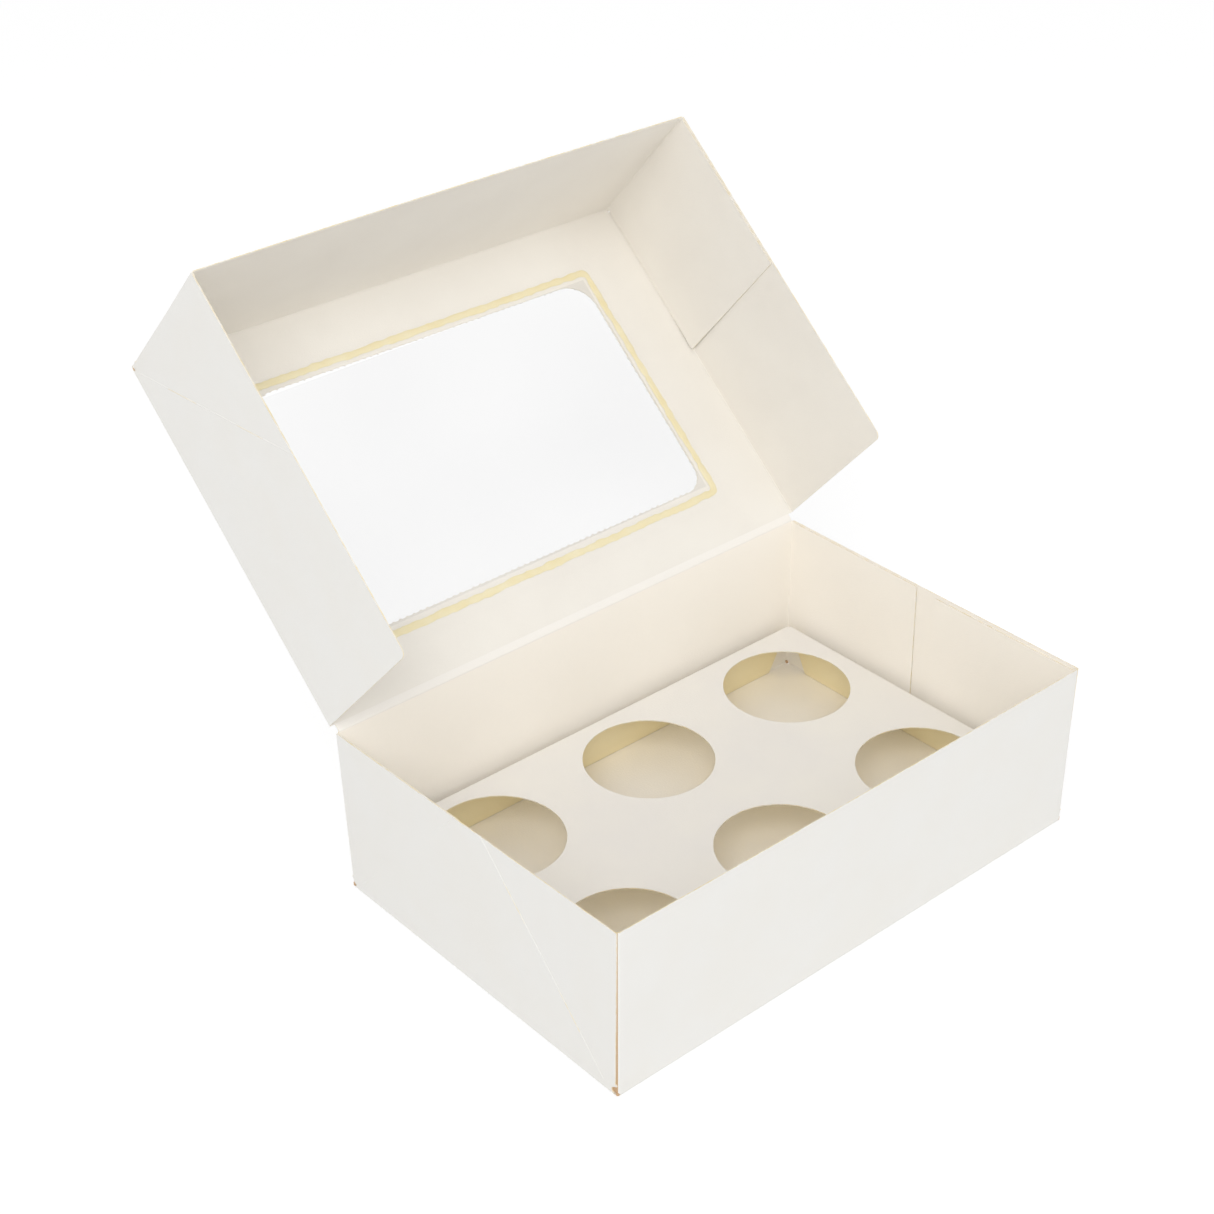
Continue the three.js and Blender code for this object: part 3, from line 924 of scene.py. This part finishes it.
def lid_box():
    """The lid's lines, with heights running down from its closed panel's outer face."""
    sizes = settings()
    lid = sizes.lid
    box = card_box(sizes.card, lid.size_x / 2, -lid.depth, 0, lid.height)
    box.back_cut = lambda at: (
        lid.near_edge if at <= box.fold else lid.setback + rounded_off(lid.height - at, lid.corner))
    return box


SPRING_START = 0.8  # from the middle to the left end, where the card starts to be drawn out
SPRING_RUN = 0.17


def sprung(box, x, reach):
    """x near the left end, drawn out by the reach where the card has sprung open."""
    share = (-x / box.half - SPRING_START) / SPRING_RUN
    return x - reach * min(1.0, max(0.0, share))


def front_lean(box, bow, x, y, height):
    """How far a point of the front wall leans, most in the middle of its open edge."""
    if y >= box.front + box.fold or abs(x) >= box.wall_x:
        return 0.0
    return bow * math.cos(math.pi / 2 * x / box.wall_x) * (height / box.height) ** 2


def tray_point(box):
    """Places a point of the tray, with its front rim leaning out in the middle."""
    tray = settings().tray

    def place(x, y, height):
        share = min(1.0, height / box.height) * (y - box.front) / (box.back - box.front)
        lean = front_lean(box, tray.bow, x, y, height)
        return Vector((sprung(box, x, tray.spring * share), y - lean, height))
    return place


def closed_lid_point(card, box):
    """Places a point of the closed lid, with its front wall's edge leaning in in the middle."""
    lid = settings().lid

    def place(x, y, height):
        reach = lid.spring * (1 - height / box.height)
        lean = front_lean(box, lid.bow, x, y, height)
        return Vector((sprung(box, x, reach), y + lean, card.thickness / 2 - height))
    return place


NECK_RADIUS = 1.0 * MM
NECK_RISE = 0.1 * MM
NECK_STEP = 0.2  # of the neck's turn


def neck_path():
    """The card's middle line from the back wall's top to the hinge line, as an arc and a straight run:
    the arc's centre, its radius, its turn and the straight run's length."""
    sizes = settings()
    radius = NECK_RADIUS
    back = sizes.tray.size_y / 2 - sizes.card.thickness / 2
    centre = Vector((back + radius, sizes.tray.height + NECK_RISE))
    to_hinge = Vector(HINGE["pos_m"][1:]) - centre
    lean = math.atan2(to_hinge.x, to_hinge.y) + math.asin(radius / to_hinge.length)
    return centre, radius, lean, math.sqrt(to_hinge.length_squared - radius**2)


def add_neck(sheet, box, place):
    """The back wall above the rim, bent back towards the hinge."""
    sizes = settings()
    centre, radius, lean, run = neck_path()
    outer = radius - sizes.card.thickness / 2
    path = [Vector((box.back, box.height))]
    path += [centre + outer * Vector((-math.cos(lean * share), math.sin(lean * share)))
             for share in spaced(0, 1, NECK_STEP)]
    path.append(path[-1] + (run - sizes.lid.near_edge) * Vector((math.sin(lean), math.cos(lean))))
    sheet.patch([[Vector((place(x, box.back, z).x, y, z)) for x in box.wall_columns] for y, z in path])


def settle(piece, body, slot, *nodes):
    """What every rigid piece gets last: its place on the open lid, clean edges, its body and the nodes that
    it stands for. The slot is not used."""
    if body == "lid":
        move_points(piece, open_lid)
    soften(piece)
    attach(piece, body)
    if nodes:
        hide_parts(*nodes)


class BOX_OT_tray_card(bpy.types.Operator):
    """Fold the tray: floor, four walls and four glued corner tabs, in one card"""

    bl_idname = "box.tray_card"
    bl_label = "Tray"

    def execute(self, context):
        sizes = settings()
        box = tray_box()
        place = tray_point(box)
        sheet = Sheet()
        add_base(sheet, box, place)
        tray = sizes.tray
        tabs = ((-1, tray.front_tab, tray.front_drop), (1, tray.back_tab, tray.back_drop))
        for end, tab_length, drop in tabs:
            add_base_margin(sheet, box, place, end)
            add_end_wall(sheet, box, place, end)
            for side in (-1, 1):
                add_tab(sheet, box, place, side, end, tab_length, drop, lambda rise: tray.tab_lift)
        for side in (-1, 1):
            add_side_wall(sheet, box, place, side)
        add_neck(sheet, box, place)
        finishes = ("outside_card", "tray_inside", "cut_edge")
        piece = sheet.to_piece(
            "tray_card", finishes, sizes.card.thickness, Vector((0, 0, 0)), Vector((0, 0, -1)))
        paint_tray(piece, box)
        cutter = slit_cutter(sizes.card, box, TRAY_DIAGONALS)
        move_points(cutter, place)
        cut_slits(piece, cutter)
        settle(piece, "tray", "white_card", "base_tray")
        return {"FINISHED"}


WINDOW_RINGS = 8


def window_loop(sizes, grow, counts, hinge_grow=None, radii=None):
    """The window's outline in the closed lid's plane, grown by a margin."""
    window = sizes.window
    hinge_grow = grow if hinge_grow is None else hinge_grow
    low = (-window.size_x / 2 - grow, -window.margin - window.size_y - grow)
    high = (window.size_x / 2 + grow, -window.margin + hinge_grow)
    if radii is None:
        radii = [window.far_radius + grow] * 2 + [window.near_radius + grow] * 2
    return rounded_loop(low, high, radii, counts)


class BOX_OT_lid_card(bpy.types.Operator):
    """Fold the lid: window panel, front wall, two side walls and two glued corner tabs, in one card"""

    bl_idname = "box.lid_card"
    bl_label = "Lid"

    def execute(self, context):
        sizes = settings()
        box = lid_box()
        place = closed_lid_point(sizes.card, box)
        sheet = Sheet()
        lines = base_lines(box)
        counts = [len(box.base_columns) - 1, len(lines) - 1] * 2
        border = [place(x, y, 0) for x, y in rectangle_loop(box.base_columns, lines)]
        opening = [place(x, y, 0) for x, y in window_loop(sizes, 0, counts)]
        sheet.ring(border, opening, WINDOW_RINGS)
        add_base_margin(sheet, box, place, -1)
        add_end_wall(sheet, box, place, -1)
        for side in (-1, 1):
            add_side_wall(sheet, box, place, side)
            add_tab(sheet, box, place, side, -1, sizes.lid.tab, sizes.lid.tab_drop,
                    lambda rise: sizes.lid.tab_lift * (1 - rise) ** 2)
        finishes = ("outside_card", "inside_card", "cut_edge")
        thickness = sizes.card.thickness
        piece = sheet.to_piece(
            "lid_card", finishes, thickness, Vector((0, lines[-1], thickness)), Vector((0, 0, 1)))
        cutter = slit_cutter(sizes.card, box, LID_DIAGONALS)
        move_points(cutter, place)
        cutter.data.flip_normals()
        cut_slits(piece, cutter)
        settle(piece, "lid", "white_card", "lid")
        return {"FINISHED"}


HINGE_ROWS = (0.7, 0.5, 0.3, 0.12)
BLEND_REACH = 0.5 * MM


class BOX_OT_hinge_crease(bpy.types.Operator):
    """Make the crease that joins the back wall to the lid, as it stands with the lid open"""

    bl_idname = "box.hinge_crease"
    bl_label = "Hinge crease"

    def execute(self, context):
        sizes = settings()
        box = tray_box()
        half_card = sizes.card.thickness / 2
        lean = neck_path()[2]
        hinge = Vector(HINGE["pos_m"])
        upward = Vector((0, math.sin(lean), math.cos(lean)))
        outward = Vector((0, math.cos(lean), -math.sin(lean)))
        rows = []
        for back in [sizes.lid.near_edge] + [row * MM for row in HINGE_ROWS]:
            middle = hinge - upward * back + outward * half_card
            rows.append([Vector((sprung(box, x, sizes.tray.spring), middle.y, middle.z))
                         for x in box.wall_columns])
        for ahead in [row * MM for row in reversed(HINGE_ROWS)] + [sizes.lid.near_edge]:
            rows.append([open_lid(sprung(box, x, sizes.lid.spring), -ahead, half_card)
                         for x in box.wall_columns])
        sheet = Sheet()
        sheet.patch(rows)
        finishes = ("outside_card", "crease_card", "cut_edge")
        piece = sheet.to_piece("hinge_crease", finishes, sizes.card.thickness, hinge, outward)
        soften(piece)
        end = open_lid(0, -BLEND_REACH, 0)
        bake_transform(piece)
        return {"FINISHED"}


EMBOSS_SUNK = 0.45  # of a pressed line's half width


class BOX_OT_crease_lines(bpy.types.Operator):
    """Raise the ridges inside the folds and the pressed lines along the side walls' diagonals"""

    bl_idname = "box.crease_lines"
    bl_label = "Crease lines"

    def execute(self, context):
        sizes = settings()
        card = sizes.card
        tree = bead_tree()
        tray = tray_box()
        lid = lid_box()
        upright = tray_point(tray)
        closed = closed_lid_point(card, lid)

        def sunk(place):
            depth = card.emboss * EMBOSS_SUNK
            return lambda x, y, height: place(x - math.copysign(depth, x), y, height)

        made = {
            "tray_fold_ridges": (inner_lines(card, tray, (-1, 1)), upright, card.bead, "tray_inside"),
            "tray_pressed_lines": (
                embossed_lines(tray, TRAY_DIAGONALS), sunk(upright), card.emboss, "outside_card"),
            "lid_fold_ridges": (inner_lines(card, lid, (-1,)), closed, card.bead, "inside_card"),
            "lid_pressed_lines": (
                embossed_lines(lid, LID_DIAGONALS), sunk(closed), card.emboss, "outside_card"),
            "tray_slit_edges": (slit_lines(tray, TRAY_DIAGONALS), upright, card.slit_edge, "cut_edge"),
            "lid_slit_edges": (slit_lines(lid, LID_DIAGONALS), closed, card.slit_edge, "cut_edge"),
            # Painted shade: dark lines in the gaps under the lid's tabs.
            "lid_tab_feet": (tab_foot_lines(lid, sizes.lid.tab), closed, card.tab_gap_shade, "slot_card"),
            "lid_corner_pinches": (pinch_lines(lid, (-1,)), closed, card.pinch, "inside_card"),
            # Painted shade: the dark lines in the tray's corners.
            "tray_corner_pinches": (pinch_lines(tray, (-1, 1)), upright, card.pinch, "slot_card"),
        }
        for name, (lines, place, radius, material) in made.items():
            points = [place(*point) for line in lines for point in line]
            piece = line_piece(name, points, [(index, index + 1) for index in range(0, len(points), 2)])
            run_tree(piece, tree, {"Radius": radius, "Material": finish(material)})
            settle(piece, name.split("_")[0], "white_card")
        return {"FINISHED"}


HOLE_STEPS = 18
HOLE_RINGS = 6


class BOX_OT_insert_card(bpy.types.Operator):
    """Fold the insert: a platform with round holes and a leg along each edge"""

    bl_idname = "box.insert_card"
    bl_label = "Insert"

    def execute(self, context):
        sizes = settings()
        insert = sizes.insert
        fold = sizes.card.fold
        half_x, half_y = INSERT_HIGH.x - insert.splay, INSERT_HIGH.y - insert.splay
        cell_x, cell_y = half_x - insert.notch, half_y - insert.notch
        xs = [-cell_x, -insert.pitch_x / 2, insert.pitch_x / 2, cell_x]
        ys = [-cell_y, 0, cell_y]
        count = HOLE_STEPS
        columns = [[lerp(a, b, i / count) for i in range(count + 1)] for a, b in zip(xs, xs[1:])]
        rows = [[lerp(a, b, i / count) for i in range(count + 1)] for a, b in zip(ys, ys[1:])]

        def place(x, y, z):
            dip = insert.sag * math.cos(math.pi / 2 * x / half_x) * math.cos(math.pi / 2 * y / half_y)
            return Vector((x, y, z - dip * (z - insert.foot) / (insert.top - insert.foot)))

        sheet = Sheet()
        radius = insert.hole / 2
        for column, lines_x in enumerate(columns):
            for row, lines_y in enumerate(rows):
                centre = ((column - 1) * insert.pitch_x, (row - 0.5) * insert.pitch_y)
                low = (centre[0] - radius, centre[1] - radius)
                high = (centre[0] + radius, centre[1] + radius)
                loops = (rectangle_loop(lines_x, lines_y),
                         rounded_loop(low, high, [radius] * 4, [count] * 4))
                sheet.ring(*[[place(x, y, insert.top) for x, y in loop] for loop in loops], HOLE_RINGS)
        runs_x = [x for column in columns for x in column[:-1]] + [cell_x]
        runs_y = [y for row in rows for y in row[:-1]] + [cell_y]
        crease = insert.top - fold
        for side in (-1, 1):
            for half, cell, runs, half_run, along_x in (
                    (half_y, cell_y, runs_x, cell_x, True), (half_x, cell_x, runs_y, cell_y, False)):
                path = [(cell, insert.top)]
                path += [(half - fold + fold * math.sin(turn), crease + fold * math.cos(turn))
                         for turn in FOLD_ANGLES[:-1]]
                path += [(half + insert.splay * (crease - z) / (crease - insert.foot), z)
                         for z in reversed(spaced(insert.foot, crease, SHEET_STEP)[:-1])]
                leg = []
                for out, z in path:
                    narrow = 1 - math.tan(insert.slant) * max(0, crease - z) / half_run
                    flat = [(run * narrow, side * out) for run in runs]
                    leg.append([place(*(at if along_x else reversed(at)), z) for at in flat])
                sheet.patch(leg)
        finishes = ("insert_top", "insert_underside", "cut_edge")
        piece = sheet.to_piece(
            "insert_card", finishes, sizes.card.thickness, Vector((0, 0, insert.top)), Vector((0, 0, 1)))
        settle(piece, "tray", "insert_card", "cupcake_insert")
        return {"FINISHED"}


RIPPLE_RATE = (14, 22)
RIPPLE_SEED = 3.0
RIPPLE_FADE = 0.25  # the share of the opening's half length over which the ripples die away at an end


class BOX_OT_window_film(bpy.types.Operator):
    """Lay the clear film over the window, with the faint ripples of a glued sheet"""

    bl_idname = "box.window_film"
    bl_label = "Window film"

    def execute(self, context):
        sizes = settings()
        window = sizes.window
        half = window.size_x / 2 + window.film_margin
        far = -window.margin - window.size_y - window.film_margin
        near = -window.margin + window.film_hinge

        def place(x, y):
            ripple = noise.noise(Vector((x * RIPPLE_RATE[0], y * RIPPLE_RATE[1], RIPPLE_SEED)))
            inset = max(0.0, 1 - abs(x) / (window.size_x / 2)) / RIPPLE_FADE
            return Vector((x, y, -window.film_seat + window.film_ripple * ripple * min(1, inset)))

        sheet = Sheet()
        sheet.patch([[place(x, y) for x in spaced(-half, half, SHEET_STEP)]
                     for y in spaced(far, near, SHEET_STEP)])
        near_hinge = Vector((0, -window.margin, -window.film_seat))
        piece = sheet.to_piece(
            "film_sheet", ["thin_film"] * 3, window.film_thickness, near_hinge, Vector((0, 0, 1)))
        settle(piece, "lid", "clear_film", "window_film")
        return {"FINISHED"}


GLUE_POINTS = (90, 60, 90, 60)
GLUE_CORNER = 2.5 * MM
GLUE_WANDER = 1.6 * MM
GLUE_STEP = 0.9 * MM


class BOX_OT_window_glue(bpy.types.Operator):
    """Run the dried glue round the window, between the panel and the film"""

    bl_idname = "box.window_glue"
    bl_label = "Window glue"

    def execute(self, context):
        sizes = settings()
        window = sizes.window
        loop = window_loop(
            sizes, window.glue_offset, GLUE_POINTS, window.glue_hinge, [GLUE_CORNER] * 4)
        middle = -sizes.card.thickness / 2 - window.glue_height / 2
        piece = loop_piece("glue_run", loop, middle)
        run_tree(piece, glue_tree(), {
            "Width": window.glue_width, "Flatness": window.glue_height / window.glue_width / 2,
            "Wander": GLUE_WANDER, "Step": GLUE_STEP, "Material": finish("yellow_glue")})
        settle(piece, "lid", "dried_glue", "window_glue")
        return {"FINISHED"}


NICK_POINTS = (120, 80, 120, 80)
NICK_DEPTH = 0.96  # of the card's thickness, so that no face lies in the card's own
NICK_SEED = 4


class BOX_OT_window_nicks(bpy.types.Operator):
    """Leave the small nicks of the die round the window's cut edge"""

    bl_idname = "box.window_nicks"
    bl_label = "Window nicks"

    def execute(self, context):
        sizes = settings()
        window = sizes.window
        loop = window_loop(sizes, window.nick_radius - window.nick_reach, NICK_POINTS)
        piece = loop_piece("window_nicks", loop, 0)
        run_tree(piece, nick_tree(), {
            "Pitch": window.nick_pitch, "Radius": window.nick_radius, "Seed": NICK_SEED,
            "Thickness": sizes.card.thickness * NICK_DEPTH, "Material": finish("inside_card")})
        settle(piece, "lid", "white_card")
        return {"FINISHED"}


CAMERA_PLACE = Vector((-505.67, -516.08, 563.86)) * MM
CAMERA_AIM = Vector((58.62, 130.77, 30.0)) * MM
CAMERA_ROLL = math.radians(-0.288)
CAMERA_LENS = 67.72
CAMERA_SENSOR = 36.0
FLOOR_HALF = 6.0
FLOOR_DROP = 0.05 * MM
FLOOR_GREY = 0.8
FLOOR_SHADOW_GREY = 0.42
FLOOR_GLOW = 0.66
SKY_STRENGTH = (0.93, 0.58)  # level with the box, and straight above it
LIGHT_AIM = Vector((0, 0.05, 0.1))
# name, place, width and power
LIGHTS = (
    ("key", Vector((-1.55, -1.3, 1.95)), 1.4, 26),
    ("front fill", Vector((0.5, -1.8, 0.75)), 1.5, 3.2))


def facing(place, aim):
    """The turn of a camera or a light that looks from its place to its aim."""
    return (aim - place).to_track_quat("-Z", "Y").to_matrix().to_4x4()


def add_camera():
    data = bpy.data.cameras.new("camera")
    data.lens = CAMERA_LENS
    data.sensor_width = CAMERA_SENSOR
    camera = bpy.data.objects.new("camera", data)
    bpy.context.scene.collection.objects.link(camera)
    level = facing(CAMERA_PLACE, CAMERA_AIM)
    camera.matrix_world = Matrix.Translation(CAMERA_PLACE) @ level @ Matrix.Rotation(CAMERA_ROLL, 4, "Z")
    bpy.context.scene.camera = camera


def end_by_sight(tree, for_light, for_camera, output):
    """Ends a tree with one shader for light and another for what the camera sees, also in a
    reflection or through glass."""
    path = tree.nodes.new("ShaderNodeLightPath").outputs
    seen = worked_out(tree, "MAXIMUM", path["Is Camera Ray"], path["Is Glossy Ray"])
    seen = worked_out(tree, "MAXIMUM", seen, path["Is Transmission Ray"])
    mixed = new_node(tree, "ShaderNodeMixShader", [("Fac", seen), (1, for_light), (2, for_camera)])
    new_node(tree, output, [("Surface", mixed.outputs["Shader"])])


def add_world():
    world = bpy.data.worlds.new("studio")
    world.use_nodes = True
    bpy.context.scene.world = world
    tree = world.node_tree
    tree.nodes.clear()
    axes = new_node(tree, "ShaderNodeSeparateXYZ", [("Vector", surface_place(tree, "Generated"))])
    light, backdrop = (
        new_node(tree, "ShaderNodeBackground", [("Color", (1.0, 1.0, 1.0, 1.0)), ("Strength", strength)])
        for strength in (ranged(tree, axes.outputs["Z"], *SKY_STRENGTH), 1.0))
    end_by_sight(tree, light.outputs["Background"], backdrop.outputs["Background"], "ShaderNodeOutputWorld")


def floor_finish():
    """White paper: a plain matte floor for light, and near white for the camera, with soft shadows."""
    material, tree, _ = new_material("studio_floor")
    tree.nodes.clear()
    matte, shaded = (
        new_node(tree, "ShaderNodeBsdfDiffuse", [("Color", (grey, grey, grey, 1.0))])
        for grey in (FLOOR_GREY, FLOOR_SHADOW_GREY))
    light = new_node(tree, "ShaderNodeEmission", [("Strength", FLOOR_GLOW)])
    lit = new_node(
        tree, "ShaderNodeAddShader", [(0, shaded.outputs["BSDF"]), (1, light.outputs["Emission"])])
    end_by_sight(tree, matte.outputs["BSDF"], lit.outputs["Shader"], "ShaderNodeOutputMaterial")
    return material


def add_soft_light(name, place, size, power):
    data = bpy.data.lights.new(name, "AREA")
    data.shape = "SQUARE"
    data.size = size
    data.energy = power
    light = bpy.data.objects.new(name, data)
    bpy.context.scene.collection.objects.link(light)
    light.matrix_world = Matrix.Translation(place) @ facing(place, LIGHT_AIM)


class BOX_OT_stage(bpy.types.Operator):
    """Set the white floor, the even studio light and the camera"""

    bl_idname = "box.stage"
    bl_label = "Stage"

    def execute(self, context):
        mesh = bpy.data.meshes.new("floor")
        corners = [(FLOOR_HALF * x, FLOOR_HALF * y, -FLOOR_DROP)
                   for x, y in ((-1, -1), (1, -1), (1, 1), (-1, 1))]
        mesh.from_pydata(corners, [], [(0, 1, 2, 3)])
        mesh.materials.append(floor_finish())
        add_piece("floor", mesh)
        add_world()
        for light in LIGHTS:
            add_soft_light(*light)
        context.scene.view_settings.view_transform = "Standard"
        add_camera()
        return {"FINISHED"}


class BOX_PT_panel(bpy.types.Panel):
    """Lists the pieces of the box in the sidebar"""

    bl_idname = "BOX_PT_panel"
    bl_label = "Cupcake Box"
    bl_space_type = "VIEW_3D"
    bl_region_type = "UI"
    bl_category = "Cupcake Box"

    def draw(self, context):
        for operator in OPERATORS:
            self.layout.operator(operator.bl_idname, text=operator.bl_label)


PROPERTY_GROUPS = {
    "box_card": CardSizes,
    "box_tray": TraySizes,
    "box_lid": LidSizes,
    "box_window": WindowSizes,
    "box_insert": InsertSizes,
    "box_finishes": Finishes,
}
OPERATORS = (
    BOX_OT_stage, BOX_OT_tray_card, BOX_OT_insert_card, BOX_OT_lid_card, BOX_OT_hinge_crease,
    BOX_OT_crease_lines, BOX_OT_window_glue, BOX_OT_window_nicks, BOX_OT_window_film)


def register():
    for owner in (*PROPERTY_GROUPS.values(), *OPERATORS, BOX_PT_panel):
        bpy.utils.register_class(owner)
    for name, group in PROPERTY_GROUPS.items():
        setattr(bpy.types.Scene, name, PointerProperty(type=group))


def unregister():
    for name in PROPERTY_GROUPS:
        delattr(bpy.types.Scene, name)
    for owner in (BOX_PT_panel, *reversed(OPERATORS), *PROPERTY_GROUPS.values()):
        bpy.utils.unregister_class(owner)


def main():
    register()
    bpy.ops.box.stage()
    bpy.ops.box.tray_card()
    bpy.ops.box.insert_card()
    bpy.ops.box.lid_card()
    bpy.ops.box.hinge_crease()
    bpy.ops.box.crease_lines()
    bpy.ops.box.window_glue()
    bpy.ops.box.window_nicks()
    bpy.ops.box.window_film()


if __name__ == "__main__":
    main()
